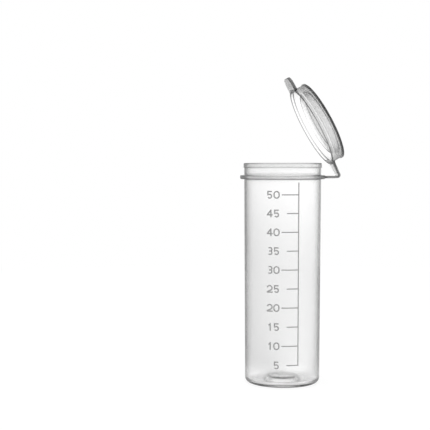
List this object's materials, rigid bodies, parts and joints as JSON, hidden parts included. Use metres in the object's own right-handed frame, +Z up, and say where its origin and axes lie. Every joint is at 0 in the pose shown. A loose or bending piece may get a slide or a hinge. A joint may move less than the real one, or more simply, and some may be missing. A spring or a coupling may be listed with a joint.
{
  "type": "hinged-lid sample tube",
  "caption": "Clear plastic graduated sample tube with a flat foot, a collar, a snap bead round its mouth, and a snap lid with a thumb tab on a living hinge.",
  "frame": {"origin": "centre of the foot, on the surface that the tube stands on", "axes": "+Z up along the tube's axis, +X from the tube's axis towards the lid's hinge, and the hinge's axis along Y"},
  "size_m": [0.0419, 0.0346, 0.1242],
  "materials": {
    "clear_plastic": "clear natural polypropylene, smooth and glossy, with faint flow marks",
    "scale_mark": "thin raised grey graduation marks"
  },
  "bodies": {
    "tube": {"tube_base": "clear_plastic", "tube_barrel": "clear_plastic", "collar_ring": "clear_plastic", "rim_bead": "clear_plastic", "strap_tube_leaf": "clear_plastic", "hinge_web": "clear_plastic", "scale_line": "scale_mark", "scale_ticks": "scale_mark", "scale_numerals": "scale_mark"},
    "lid": {"lid_plate": "clear_plastic", "lid_skirt": "clear_plastic", "lid_flange": "clear_plastic", "lid_seal_ring": "clear_plastic", "thumb_tab": "clear_plastic", "strap_lid_leaf": "clear_plastic"}
  },
  "joints": [
    {"name": "lid_hinge", "type": "hinge", "parent": "tube", "child": "lid", "pos_m": [0.022, 0, 0.08465], "axis": [0, 1, 0], "range_deg": [-61.5, 118.5]}
  ]
}
